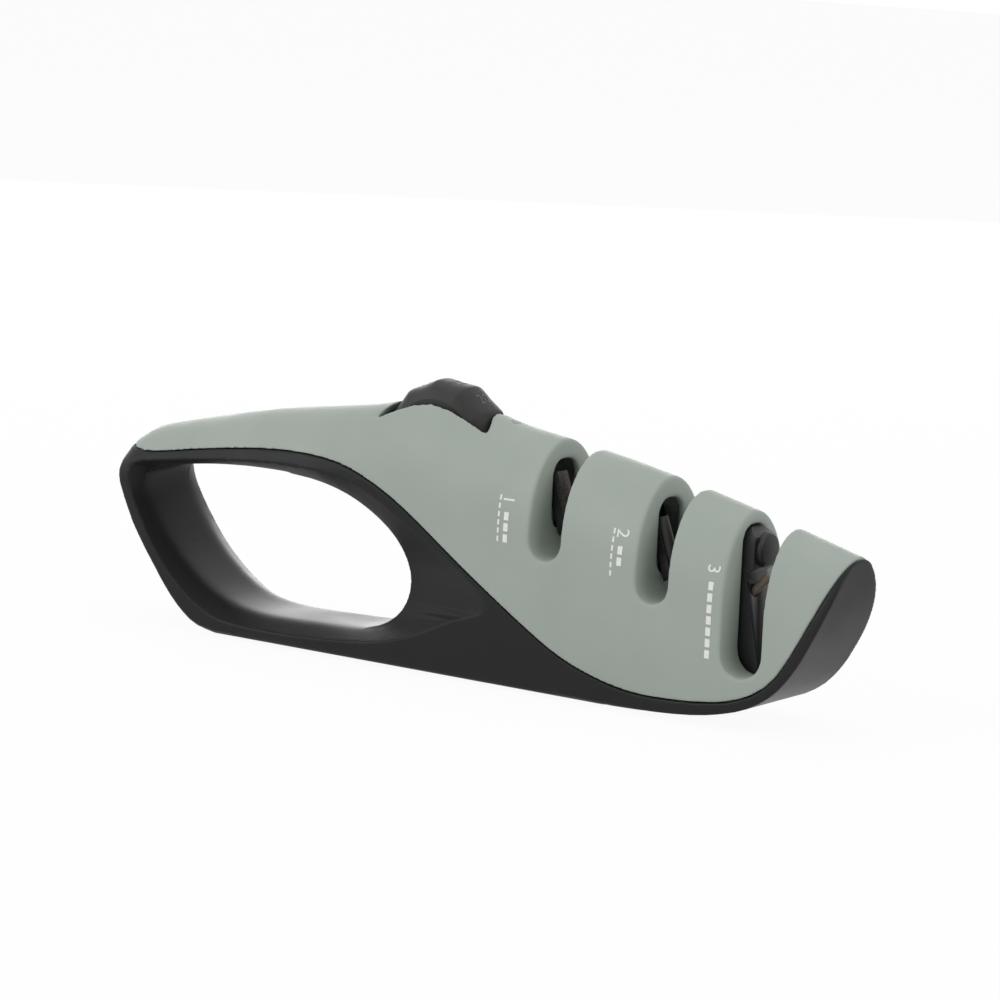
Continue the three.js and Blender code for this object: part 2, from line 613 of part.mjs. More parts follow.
function makeSlide() {
  const legX = pegs[0][0] - 2;
  const pinX = DIAL_X + FOLLOWER_X;
  const pinZ = DIAL_Z + FOLLOWER_Z;
  const bars = [capsule(pinX, pinZ, legX, pinZ, 2.2), capsule(legX, pinZ, legX, BAR_Z, 2.6),
    capsule(legX, BAR_Z, pegs[1][0], BAR_Z, BAR_HALF),
    capsule(pegs[1][0], BAR_Z, pegs[1][0], pegs[1][1] + 0.8, 2.9),
    capsule(pegs[0][0], pegs[0][1], pegs[0][0], pegs[0][1] + 0.8, 2.9)];
  let slide = join(...bars.map((bar) => prismY(bar, slideIn, slideOut, END_STEPS)));
  slide = both(slide, box(-HALF, HALF, 0, HALF_W, BAR_Z - BAR_HALF, TALL));
  for (const [x, z] of pegs) {
    const slot = capsule(x, z - 0.5, x, z + 0.5, PEG_R + CLEAR);
    slide = cut(slide, prismY(slot, slideIn - 1, slideOut + 1, END_STEPS));
  }
  const back = SLIDE_PER_TURN * DIAL_BACK - 0.2;
  const on = SLIDE_PER_TURN * DIAL_ON + 0.2;
  for (const [x, z] of guides) {
    const slot = capsule(x - on, z, x - back, z, PEG_R + CLEAR);
    slide = cut(slide, prismY(slot, slideIn - 1, slideOut + 1, END_STEPS));
  }
  return join(slide, pinY(pinX, pinZ, FOLLOWER_R, DIAL_HALF - GROOVE_DEEP + SLACK, slideIn + 1));
}

add('cam_slide', makeSlide(), ...DARK);

// An upright bracket with two cheeks, lower between its pivots so that it clears the notch.
function makeBracket(pivots, pivotZ, low, ends, seats, studs) {
  const reach = 3;
  const mid = low - LINER - 0.8;
  const inner = reach - 0.2;
  const [a, b] = pivots;
  const cheek = polygon([[a - reach, SEAT_Z], [b + reach, SEAT_Z], [b + reach, pivotZ + reach],
    [b - inner, pivotZ + reach], [b - inner, mid], [a + inner, mid], [a + inner, pivotZ + reach],
    [a - reach, pivotZ + reach]]);
  let made = join(prismY(cheek, -CHEEK_OUT, -CHEEK_IN), prismY(cheek, CHEEK_IN, CHEEK_OUT),
    box(ends[0], ends[1], -CHEEK_OUT, CHEEK_OUT, SEAT_Z, SEAT_Z + BASE));
  for (const [sx, sz] of studs) made = join(made, pinY(sx, sz, PEG_R, CHEEK_OUT - 0.5, slideOut + SLACK));
  for (const px of pivots) made = cut(made, pinY(px, pivotZ, PIVOT_R + CLEAR, -CHEEK_OUT - 1, CHEEK_OUT + 1));
  for (const [sx, sy] of seats) made = cut(made, postZ(sx, sy, SHANK_R + CLEAR, SEAT_Z - 1, SEAT_Z + BASE + 1));
  return made;
}

// One arm: a finger behind the stone, a bridge through the window and an upright on the pivot.
// Side is -1 for the left arm and 1 for the right one.
function alongV(x, z, side, up, back) {
  const [s, c] = [Math.sin(V_HALF_ANGLE), Math.cos(V_HALF_ANGLE)];
  return [x + side * (up * s + back * c), z + up * c - back * s];
}

function layer(side) {
  return side < 0 ? [-LAYER_OUT, -LAYER_IN] : [LAYER_IN, LAYER_OUT];
}

function stoneShape(x, cross, side, from, to, front, back) {
  const corner = (up, behind) => alongV(x, cross, side, up, behind);
  return polygon([corner(from, front), corner(to, front), corner(to, back), corner(from, back)]);
}

function makeArm(x, cross, side, pivotX, pivotZ, tail, bridgeUp) {
  const [y0, y1] = layer(side);
  const finger = stoneShape(x, cross, side, 1 - STONE_DOWN, STONE_UP - 1, STONE_THICK, STONE_THICK + FINGER);
  const [bx, bz] = alongV(x, cross, side, bridgeUp, STONE_THICK + FINGER * 0.6);
  const bars = [finger, capsule(pivotX, bz, bx, bz, ARM_R), capsule(pivotX, pivotZ, pivotX, bz, ARM_R),
    capsule(pivotX, pivotZ, tail[0], tail[1], ARM_R - 0.2)];
  const [kx, kz] = alongV(x, cross, side, STONE_UP - KNOB_R, STONE_THICK + KNOB_R / 2);
  const solids = [...bars.map((bar) => prismY(bar, y0, y1, END_STEPS)), pinY(kx, kz, KNOB_R, y0, y1)];
  const front = stoneShape(x, cross, side, -STONE_UP, 2 * STONE_UP, -STONE_UP, STONE_THICK);
  const made = cut(join(...solids), prismY(front, y0 - 1, y1 + 1));
  return cut(made, pinY(pivotX, pivotZ, PIVOT_R + CLEAR, y0 - 1, y1 + 1));
}

function makePivot(x, z) {
  const head = 0.5;
  return join(pinY(x, z, PIVOT_R, -CHEEK_OUT - head, CHEEK_OUT + CLEAR),
    pinY(x, z, PIVOT_R + 0.7, -CHEEK_OUT - head, -CHEEK_OUT));
}

const sides = [[-1, 'left'], [1, 'right']];
const coarseCross = COARSE_LOW + COARSE_CROSS;
const coarseEnds = [coarsePivot[0] - 3, coarsePivot[1] + 3];
add('coarse_bracket', makeBracket(coarsePivot, COARSE_PIVOT_Z, COARSE_LOW, coarseEnds, coarseSeats, guides),
  ...DARK);
coarseSeats.forEach(([x, y], i) => {
  add(`coarse_screw_${i + 1}`, screw(x, y, SEAT_Z + BASE, FLOOR_SCREW, false), ...STEEL);
});
sides.forEach(([side, word], i) => {
  const [y0, y1] = layer(side);
  const arm = makeArm(COARSE_X, coarseCross, side, coarsePivot[i], COARSE_PIVOT_Z, pegs[i], 6.5);
  const peg = pinY(pegs[i][0], pegs[i][1], PEG_R, y1 - 1, slideOut);
  add(`coarse_arm_${word}`, join(arm, peg), ...DARK);
  const plate = stoneShape(COARSE_X, coarseCross, side, -STONE_DOWN, STONE_UP, 0, STONE_THICK);
  add(`coarse_plate_${word}`, prismY(plate, y0, y1), ...GRIT);
  add(`coarse_pivot_${word}`, makePivot(coarsePivot[i], COARSE_PIVOT_Z), ...STEEL);
});

const fineCross = FINE_LOW + FINE_CROSS;
const TAIL_FINE = 6.6;
const springX = [finePivot[0] - TAIL_FINE + 1.4, finePivot[1] + TAIL_FINE - 1.4];
const fineEnds = [springX[0] - SPRING_R - 0.6, springX[1] + SPRING_R + 0.4];
add('fine_bracket', makeBracket(finePivot, FINE_PIVOT_Z, FINE_LOW, fineEnds, fineSeats, []), ...DARK);
fineSeats.forEach(([x, y], i) => {
  add(`fine_screw_${i + 1}`, screw(x, y, SEAT_Z + BASE, FLOOR_SCREW, false), ...STEEL);
});

// A rod with a flat back that lies on a leaning face, from a foot point on that face.
function makeRod(footX, footZ, lean, y, side, r, long) {
  const half = new THREE.Shape();
  half.absarc(0, 0, r, 0, Math.PI);
  const options = { depth: long, bevelEnabled: false, curveSegments: ROUND_STEPS };
  const made = new THREE.ExtrudeGeometry(half, options);
  return solid(made.rotateZ(side * Math.PI / 2).rotateY(side * lean).translate(footX, y, footZ));
}

class Helix extends THREE.Curve {
  constructor(x, y, z0, z1) {
    super();
    Object.assign(this, { x, y, z0, z1 });
  }

  getPoint(t, target = new THREE.Vector3()) {
    const a = 2 * Math.PI * SPRING_TURNS * t;
    const z = THREE.MathUtils.lerp(this.z0, this.z1, t);
    return target.set(this.x + SPRING_R * Math.cos(a), this.y + SPRING_R * Math.sin(a), z);
  }
}

function springGap(path) {
  const steps = SPRING_TURNS * 24;
  const points = path.getPoints(steps);
  let least = Infinity;
  for (let i = 0; i < steps; i += 1) {
    for (let j = i + 12; j <= steps; j += 1) least = Math.min(least, points[i].distanceTo(points[j]));
  }
  return least - 2 * WIRE_R;
}

function makeSpring(x, y, z0, z1) {
  const path = new Helix(x, y, z0 + WIRE_R, z1 - WIRE_R);
  console.log(`spring least gap between coils ${springGap(path).toFixed(2)} mm`);
  const wire = new THREE.Shape();
  const corners = 5;
  const ring = [];
  for (let k = 0; k < corners; k += 1) {
    const a = 2 * Math.PI * k / corners;
    ring.push(new THREE.Vector2(WIRE_R * Math.cos(a), WIRE_R * Math.sin(a)));
  }
  wire.setFromPoints(ring);
  const options = { extrudePath: path, steps: SPRING_TURNS * 8, bevelEnabled: false };
  return solid(new THREE.ExtrudeGeometry(wire, options));
}

sides.forEach(([side, word], i) => {
  const [y0, y1] = layer(side);
  const middle = (y0 + y1) / 2;
  const tail = [finePivot[i] + side * (TAIL_FINE - ARM_R + 0.2), FINE_PIVOT_Z];
  add(`fine_arm_${word}`, makeArm(FINE_X, fineCross, side, finePivot[i], FINE_PIVOT_Z, tail, 5.2), ...DARK);
  const [fx, fz] = alongV(FINE_X, fineCross, side, -STONE_DOWN, STONE_THICK);
  const rodY = side * (LAYER_IN + FINE_ROD_IN + STONE_THICK);
  const rod = makeRod(fx, fz, V_HALF_ANGLE, rodY, side, STONE_THICK, STONE_UP + STONE_DOWN);
  add(`fine_rod_${word}`, rod, ...CERAMIC);
  add(`fine_pivot_${word}`, makePivot(finePivot[i], FINE_PIVOT_Z), ...STEEL);
  const top = FINE_PIVOT_Z - ARM_R + 0.2;
  add(`fine_spring_${word}`, makeSpring(springX[i], middle, SEAT_Z + BASE + 0.1, top - 0.1), ...STEEL);
});

// Scissor stage: the holder fills its window and carries the guide and the rod.
const holderLeft = SCISSOR_X - SCISSOR_WIDE / 2 - LINER + 0.2;
const holderRight = SCISSOR_X + SCISSOR_WIDE / 2 + 0.4;
const holderBase = SCISSOR_LOW + 1;
const holderTop = SCISSOR_WINDOW[1] - SLACK;
const headFront = SCISSOR_X - HEAD_SET;
const headUnder = HEAD_LOW - HEAD_SET / 2;
const faceFoot = SCISSOR_X - 0.2;
const faceAt = (z) => faceFoot - Math.tan(HOLDER_LEAN) * (z - holderBase);

function tiltedRod(r) {
  const made = new THREE.ExtrudeGeometry(disc(0, 0, r), {
    depth: ROD_LONG, bevelEnabled: false, curveSegments: ROUND_STEPS,
  });
  const [down, back] = [ROD_SEAT * Math.cos(ROD_TILT), ROD_SEAT * Math.sin(ROD_TILT)];
  return solid(made.rotateY(ROD_TILT).translate(faceAt(ROD_Z) - back, ROD_Y, ROD_Z - down));
}

function makeHolder() {
  const side = polygon([[holderLeft, SEAT_Z], [SCISSOR_X, SEAT_Z], [holderRight, holderBase - 1.6],
    [holderRight, holderBase], [faceFoot, holderBase], [faceAt(headUnder), headUnder], [headFront, HEAD_LOW],
    [headFront, HEAD_HIGH], [headFront - HEAD_SET, holderTop], [holderLeft, holderTop]]);
  const front = rounded(HOLDER_HALF, SEAT_Z - WINDOW_ROUND, holderTop, WINDOW_ROUND - SLACK);
  const block = prismY(side, -HOLDER_HALF, HOLDER_HALF);
  let made = both(block, prismX(front, holderLeft - 1, holderRight + 1, END_STEPS));
  for (const [x, y] of scissorSeats) made = cut(made, postZ(x, y, SHANK_R + CLEAR, SEAT_Z - 1, SEAT_Z + 4));
  return cut(made, tiltedRod(ROD_R + CLEAR));
}

function makeGuide() {
  const edge = 0.5;
  const profile = [[0, 0], [GUIDE_R, 0], [GUIDE_R, GUIDE_OUT - edge], [GUIDE_R - edge, GUIDE_OUT],
    [0, GUIDE_OUT]];
  const made = new THREE.LatheGeometry(profile.map(([r, out]) => new THREE.Vector2(r, out)), 24);
  return solid(made.rotateZ(-Math.PI / 2).translate(headFront, 0, GUIDE_Z));
}

add('scissor_holder', makeHolder(), ...DARK);
scissorSeats.forEach(([x, y], i) => {
  add(`scissor_screw_${i + 1}`, screw(x, y, scissorHeadSeat, SCISSOR_SCREW, true), ...STEEL);
});
add('scissor_rod', tiltedRod(ROD_R), ...BROWN);
add('scissor_guide', makeGuide(), ...DARK);

export default group;
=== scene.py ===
import json
import math

import bpy
from mathutils import Matrix, Vector

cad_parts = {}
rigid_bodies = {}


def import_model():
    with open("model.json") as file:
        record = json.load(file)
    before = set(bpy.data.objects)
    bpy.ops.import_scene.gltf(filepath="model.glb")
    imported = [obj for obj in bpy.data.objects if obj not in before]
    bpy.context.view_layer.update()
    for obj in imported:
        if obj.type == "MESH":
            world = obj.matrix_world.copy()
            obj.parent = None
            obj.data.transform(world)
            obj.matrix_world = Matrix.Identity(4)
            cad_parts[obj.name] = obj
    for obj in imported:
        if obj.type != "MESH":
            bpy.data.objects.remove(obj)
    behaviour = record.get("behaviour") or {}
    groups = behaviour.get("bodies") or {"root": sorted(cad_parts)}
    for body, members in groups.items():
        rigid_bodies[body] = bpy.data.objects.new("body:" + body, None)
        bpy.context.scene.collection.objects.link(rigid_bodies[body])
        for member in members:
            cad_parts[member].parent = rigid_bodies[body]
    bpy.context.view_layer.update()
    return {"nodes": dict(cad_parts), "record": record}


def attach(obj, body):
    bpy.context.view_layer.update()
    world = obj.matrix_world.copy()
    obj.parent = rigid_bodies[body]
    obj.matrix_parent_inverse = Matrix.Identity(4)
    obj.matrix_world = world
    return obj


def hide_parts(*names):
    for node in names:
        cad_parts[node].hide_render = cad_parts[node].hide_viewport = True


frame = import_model()
nodes = frame["nodes"]
MM = 0.001

# Lengths are in millimetres and angles in degrees, unless a line says otherwise

# Places shared with the solids
DIAL_AXLE = Vector((-11.5, 0, 54.5))
DIAL_TROUGH = 16.1
DIAL_FACE = 12.5
DIAL_HALF = 7
DIAL_STEP = 30
DIAL_CUT = 5
SLOT_ROUND = 17.6
SLOT_HALF = 7.6
HALF_WIDTH = 15.5
HOLE_MIDDLE = Vector((-58, 0, 27))
HOLE_FRONT = -8
NOTCHES = ((28.6, 4.6, 33.0), (59.2, 4.4, 26.8), (84.0, 5.4, 12.5))  # middle, half width, bottom

# Shapes that only the dress has: the dial's crown and the lip beside its slot
DIAL_CROWN = 3.6
DIAL_FILL = 0.32
DIAL_SET = 22.5
LIP = 0.9
LIP_WIDE = 2.6
LIP_FADE = 4

# Working values
WELD = 0.000002  # metres
EASE = 0.5       # share of the way to the neighbours in one round of smoothing
LONG_EDGE = 30
LONG_EDGE_ROUNDS = 30
CREASE = 38
GRAIN_DEPTH = 0.05

# Marks laid on the skin: stage numbers and bars in print, the dial's numbers drawn in painted
# highlight, the pointer drawn in painted shade
MARK_LIFT = 0.03
MARK_THICK = 0.05
MARK_CREASE = 40
PRINT_PLANE = -HALF_WIDTH - 1
STAGE_NUMBER_SIZE = 4.6
DIAL_NUMBER_SIZE = 4.2
DIAL_NUMBER_OUT = 0.6
BAR_DROP = 3.0
BAR_STEP = 2.7
BAR_LONG = 2.0
BAR_WIDE = 1.3
FINE_BAR_COUNT = 6
FINE_BAR_ASIDE = 2.2
FINE_BAR_RISE = 1.0
FINE_BAR_STEP = 2.0
FINE_BAR_LONG = 1.3
FINE_BAR_WIDE = 0.5
POINTER_X = 8.4
POINTER_SIZE = 1.7
POINTER_LINE = 0.3
ABOVE_ALL = 80

# Camera and floor
CAMERA_PLACE = Vector((587.19, -834.46, 205.23))
CAMERA_AROUND = 34.92
CAMERA_ABOVE = 9.04
CAMERA_ROLL = 2.5
CAMERA_FOCAL = 4200  # pixels
PICTURE_WIDE = 1000  # pixels
SENSOR_WIDE = 36
FLOOR_DROP = 0.2
FLOOR_GLOW = 0.94


# Working habits shared by all pieces

def only(obj):
    bpy.ops.object.select_all(action="DESELECT")
    obj.select_set(True)
    bpy.context.view_layer.objects.active = obj


def apply_modifier(obj, kind, **settings):
    only(obj)
    modifier = obj.modifiers.new(kind.lower(), kind)
    for key, value in settings.items():
        setattr(modifier, key, value)
    bpy.ops.object.modifier_apply(modifier=modifier.name)


def copy_of(source_name, name):
    source = nodes[source_name]
    obj = source.copy()
    obj.data = source.data.copy()
    obj.name = name
    obj.parent = None
    obj.matrix_world = Matrix.Identity(4)
    bpy.context.scene.collection.objects.link(obj)
    only(obj)
    bpy.ops.object.mode_set(mode="EDIT")
    bpy.ops.mesh.select_all(action="SELECT")
    bpy.ops.mesh.remove_doubles(threshold=WELD)
    bpy.ops.object.mode_set(mode="OBJECT")
    return obj


def finish_piece(obj, body, slot, material, *stands_for):
    obj.data.materials.clear()
    obj.data.materials.append(material)
    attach(obj, body)
    if stands_for:
        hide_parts(*stands_for)
    return obj


# Surface effects used by more than one finish

def effect_group(name, inputs, outputs):
    group = bpy.data.node_groups.new(name, "ShaderNodeTree")
    for label, kind, value in inputs:
        socket = group.interface.new_socket(name=label, in_out="INPUT", socket_type=kind)
        socket.default_value = value
    for label, kind in outputs:
        group.interface.new_socket(name=label, in_out="OUTPUT", socket_type=kind)
    ends = group.nodes.new("NodeGroupInput"), group.nodes.new("NodeGroupOutput")
    return group, ends[0], ends[1]


def node(tree, kind, links=(), **values):
    made = tree.nodes.new(kind)
    for key, value in values.items():
        if hasattr(made, key):
            setattr(made, key, value)
        else:
            made.inputs[key].default_value = value
    for key, source in links:
        tree.links.new(source, made.inputs[key])
    return made


def noise(tree, where, scale, detail=3.0):
    made = node(tree, "ShaderNodeTexNoise", [("Vector", where)])
    made.inputs["Detail"].default_value = detail
    if isinstance(scale, (int, float)):
        made.inputs["Scale"].default_value = scale
    else:
        tree.links.new(scale, made.inputs["Scale"])
    return made.outputs["Fac"]


def mixed(tree, factor, low, high):
    made = node(tree, "ShaderNodeMix", data_type="RGBA")
    tree.links.new(factor, made.inputs[0])
    tree.links.new(low, made.inputs[6])
    tree.links.new(high, made.inputs[7])
    return made.outputs[2]


def spread(tree, value, low, high, to_low, to_high):
    made = node(tree, "ShaderNodeMapRange", [("Value", value)])
    ends = {"From Min": low, "From Max": high, "To Min": to_low, "To Max": to_high}
    for key, amount in ends.items():
        if isinstance(amount, (int, float)):
            made.inputs[key].default_value = amount
        else:
            tree.links.new(amount, made.inputs[key])
    return made.outputs["Result"]


def moulded_grain():
    group, start, end = effect_group(
        "moulded_grain",
        [("Tone", "NodeSocketColor", (0.5, 0.5, 0.5, 1)),
         ("Shade", "NodeSocketColor", (0.4, 0.4, 0.4, 1)),
         ("Grain", "NodeSocketFloat", 2400.0),
         ("Smooth", "NodeSocketFloat", 0.45),
         ("Dull", "NodeSocketFloat", 0.6)],
        [("Colour", "NodeSocketColor"),
         ("Roughness", "NodeSocketFloat"),
         ("Height", "NodeSocketFloat")])
    where = node(group, "ShaderNodeTexCoord").outputs["Object"]
    fine = noise(group, where, start.outputs["Grain"], 2.0)
    broad = noise(group, where, 55.0, 4.0)
    cloud = spread(group, broad, 0.3, 0.7, 0.0, 1.0)
    colour = mixed(group, cloud, start.outputs["Tone"], start.outputs["Shade"])
    group.links.new(colour, end.inputs["Colour"])
    rough = spread(group, broad, 0.3, 0.7, start.outputs["Smooth"], start.outputs["Dull"])
    group.links.new(rough, end.inputs["Roughness"])
    group.links.new(fine, end.inputs["Height"])
    return group


def edge_rub():
    group, start, end = effect_group(
        "edge_rub", [("Reach", "NodeSocketFloat", 0.56)], [("Mask", "NodeSocketFloat")])
    where = node(group, "ShaderNodeTexCoord").outputs["Object"]
    point = node(group, "ShaderNodeNewGeometry").outputs["Pointiness"]
    edge = spread(group, point, start.outputs["Reach"], 0.66, 0.0, 1.0)
    patchy = spread(group, noise(group, where, 220.0, 5.0), 0.42, 0.62, 0.0, 1.0)
    both = node(group, "ShaderNodeMath", [(0, edge), (1, patchy)], operation="MULTIPLY")
    group.links.new(both.outputs[0], end.inputs["Mask"])
    return group


GRAIN = moulded_grain()
RUB = edge_rub()


def blank_material(name):
    made = bpy.data.materials.new(name)
    made.use_nodes = True
    tree = made.node_tree
    tree.nodes.clear()
    out = tree.nodes.new("ShaderNodeOutputMaterial")
    surface = tree.nodes.new("ShaderNodeBsdfPrincipled")
    tree.links.new(surface.outputs[0], out.inputs["Surface"])
    return made, tree, surface


def add_bump(tree, surface, height, depth_mm, strength):
    bump = node(tree, "ShaderNodeBump", [("Height", height)])
    bump.inputs["Distance"].default_value = depth_mm * MM
    bump.inputs["Strength"].default_value = strength
    tree.links.new(bump.outputs[0], surface.inputs["Normal"])


def moulded(name, tone, shade, worn, grain, smooth, dull, bump, sheen=0.0, gloss=0.4):
    made, tree, surface = blank_material(name)
    skin = tree.nodes.new("ShaderNodeGroup")
    skin.node_tree = GRAIN
    skin.inputs["Tone"].default_value = (*tone, 1)
    skin.inputs["Shade"].default_value = (*shade, 1)
    skin.inputs["Grain"].default_value = grain
    skin.inputs["Smooth"].default_value = smooth
    skin.inputs["Dull"].default_value = dull
    rub = tree.nodes.new("ShaderNodeGroup")
    rub.node_tree = RUB
    colour = node(tree, "ShaderNodeMix", data_type="RGBA")
    colour.inputs[7].default_value = (*worn, 1)
    tree.links.new(rub.outputs["Mask"], colour.inputs[0])
    tree.links.new(skin.outputs["Colour"], colour.inputs[6])
    tree.links.new(colour.outputs[2], surface.inputs["Base Color"])
    tree.links.new(skin.outputs["Roughness"], surface.inputs["Roughness"])
    surface.inputs["Specular IOR Level"].default_value = gloss
    surface.inputs["Sheen Weight"].default_value = sheen
    surface.inputs["Sheen Roughness"].default_value = 0.5
    add_bump(tree, surface, skin.outputs["Height"], GRAIN_DEPTH, bump)
    return made


def brushed_steel():
    made, tree, surface = blank_material("bright_steel")
    where = node(tree, "ShaderNodeTexCoord").outputs["Object"]
    drawn = node(tree, "ShaderNodeMapping", [("Vector", where)])
    drawn.inputs["Scale"].default_value = (1, 1, 14)
    lines = noise(tree, drawn.outputs[0], 900.0, 4.0)
    ramp = node(tree, "ShaderNodeValToRGB", [("Fac", lines)])
    ramp.color_ramp.elements[0].color = (0.42, 0.43, 0.44, 1)
    ramp.color_ramp.elements[1].color = (0.66, 0.67, 0.68, 1)
    tree.links.new(ramp.outputs[0], surface.inputs["Base Color"])
    tree.links.new(spread(tree, lines, 0.3, 0.7, 0.24, 0.42), surface.inputs["Roughness"])
    surface.inputs["Metallic"].default_value = 1.0
    add_bump(tree, surface, lines, 0.01, 0.3)
    return made


def grit_steel():
    made, tree, surface = blank_material("grit_coated_steel")
    where = node(tree, "ShaderNodeTexCoord").outputs["Object"]
    grit = node(tree, "ShaderNodeTexVoronoi", [("Vector", where)])
    grit.inputs["Scale"].default_value = 3200.0
    ramp = node(tree, "ShaderNodeValToRGB", [("Fac", grit.outputs["Distance"])])
    ramp.color_ramp.elements[0].color = (0.105, 0.095, 0.085, 1)
    ramp.color_ramp.elements[1].color = (0.03, 0.028, 0.026, 1)
    tree.links.new(ramp.outputs[0], surface.inputs["Base Color"])
    rough = spread(tree, grit.outputs["Distance"], 0.0, 0.6, 0.35, 0.75)
    tree.links.new(rough, surface.inputs["Roughness"])
    surface.inputs["Metallic"].default_value = 0.7
    add_bump(tree, surface, grit.outputs["Distance"], 0.06, 0.7)
    return made


# A flat speckled finish for print, and for marks drawn in painted highlight or painted shade
def ink_or_painted_light(name, first_colour, second_colour):
    made, tree, surface = blank_material(name)
    where = node(tree, "ShaderNodeTexCoord").outputs["Object"]
    speck = noise(tree, where, 1500.0, 4.0)
    ramp = node(tree, "ShaderNodeValToRGB", [("Fac", speck)])
    ramp.color_ramp.elements[0].color = (*first_colour, 1)
    ramp.color_ramp.elements[1].color = (*second_colour, 1)
    tree.links.new(ramp.outputs[0], surface.inputs["Base Color"])
    tree.links.new(spread(tree, speck, 0.3, 0.7, 0.45, 0.65), surface.inputs["Roughness"])
    return made


# Each moulded finish: tone, shade, worn edge, then grain, least and most roughness, bump
SAGE = moulded(
    "sage_soft_touch", (0.345, 0.392, 0.350), (0.325, 0.371, 0.330), (0.43, 0.47, 0.43),
    2600, 0.50, 0.62, 0.16, sheen=0.06)
CHARCOAL = moulded(
    "charcoal_soft_touch", (0.015, 0.015, 0.0155), (0.012, 0.012, 0.0125), (0.034, 0.034, 0.034),
    2400, 0.36, 0.46, 0.2, sheen=0.02, gloss=0.16)
DIAL_BLACK = moulded(
    "dial_black", (0.026, 0.0255, 0.025), (0.021, 0.0205, 0.020), (0.045, 0.045, 0.044),
    2200, 0.48, 0.60, 0.25, sheen=0.03, gloss=0.3)
MECH_BLACK = moulded(
    "mechanism_black", (0.014, 0.014, 0.015), (0.010, 0.010, 0.011), (0.04, 0.04, 0.04),
    1800, 0.36, 0.5, 0.2)
PAD = moulded(
    "pad_rubber", (0.022, 0.022, 0.022), (0.016, 0.016, 0.016), (0.04, 0.04, 0.04),
    1400, 0.75, 0.9, 0.5)
CERAMIC = moulded(
    "dark_ceramic", (0.034, 0.032, 0.030), (0.026, 0.025, 0.024), (0.07, 0.065, 0.06),
    3000, 0.42, 0.6, 0.2)
BROWN = moulded(
    "brown_ceramic", (0.19, 0.145, 0.115), (0.15, 0.115, 0.09), (0.26, 0.2, 0.16),
    3000, 0.45, 0.6, 0.2)
STEEL = brushed_steel()
GRIT = grit_steel()
COVER_INK = ink_or_painted_light("pale_print", (0.70, 0.71, 0.69), (0.88, 0.89, 0.87))
# Painted highlight: the dial's numbers are embossed in its own black, and this lighter grey
# stands in for the light the raised figures catch
DIAL_NUMBER_HIGHLIGHT = ink_or_painted_light("grey_painted_highlight", (0.075, 0.075, 0.073), (0.10, 0.10, 0.098))
# Painted shade: the pointer is moulded in the cover's own green, and this darker green stands in
# for the shade along its moulded outline
POINTER_PAINTED_SHADE = ink_or_painted_light("sunk_mark_painted_shade", (0.235, 0.270, 0.240), (0.265, 0.302, 0.270))


# The two moulded shells and the dial: their solids, evened out and with rounded edges

def close_mesh(source, name, depth):
    obj = copy_of(source, name)
    apply_modifier(obj, "REMESH", mode="SHARP", octree_depth=depth, scale=0.99, sharpness=1.0,
                   use_remove_disconnected=False)
    return obj


def edge_runs(mesh):
    beside = {}
    for edge in mesh.edges:
        if edge.select:
            first, second = edge.vertices
            beside.setdefault(first, []).append(second)
            beside.setdefault(second, []).append(first)
    left = set(beside)
    while left:
        run = [left.pop()]
        for corner in run:
            found = [k for k in beside[corner] if k in left]
            left.difference_update(found)
            run.extend(found)
        yield run, beside


def even_edges(obj, shortest_mm, rounds):
    points = [v.co.copy() for v in obj.data.vertices]
    for run, beside in edge_runs(obj.data):
        low = Vector([min(points[k][axis] for k in run) for axis in range(3)])
        high = Vector([max(points[k][axis] for k in run) for axis in range(3)])
        inner = [k for k in run if len(beside[k]) > 1]
        for _ in range(rounds if (high - low).length > shortest_mm * MM else 0):
            means = [sum((points[n] for n in beside[k]), Vector()) / len(beside[k])
                     for k in inner]
            for k, mean in zip(inner, means):
                points[k] = (points[k] + mean) / 2
        for k in inner:
            obj.data.vertices[k].co = points[k]


def even_skin(obj, edge_angle, rounds, edge_rounds, melts=None):
    only(obj)
    bpy.ops.object.mode_set(mode="EDIT")
    bpy.ops.mesh.select_mode(type="EDGE")
    bpy.ops.mesh.select_all(action="DESELECT")
    bpy.ops.mesh.edges_select_sharp(sharpness=math.radians(edge_angle))
    bpy.ops.object.mode_set(mode="OBJECT")
    even_edges(obj, LONG_EDGE, LONG_EDGE_ROUNDS)
    bpy.ops.object.mode_set(mode="EDIT")
    bpy.ops.mesh.select_mode(type="VERT")
    bpy.ops.object.mode_set(mode="OBJECT")
    if melts:
        for corner in obj.data.vertices:
            if corner.select and melts(corner):
                corner.select = False
    bpy.ops.object.mode_set(mode="EDIT")
    bpy.ops.mesh.select_more()
    bpy.ops.mesh.select_more()
    bpy.ops.mesh.select_all(action="INVERT")
    bpy.ops.object.mode_set(mode="OBJECT")
    skin = obj.vertex_groups.new(name="skin")
    skin.add([v.index for v in obj.data.vertices if v.select], 1.0, "ADD")
    apply_modifier(obj, "SMOOTH", factor=EASE, iterations=rounds, vertex_group="skin")
    apply_modifier(obj, "SMOOTH", factor=EASE, iterations=edge_rounds)


def thinned(obj, share):
    apply_modifier(obj, "DECIMATE", ratio=share)
    only(obj)
    bpy.ops.object.shade_smooth()
    return obj


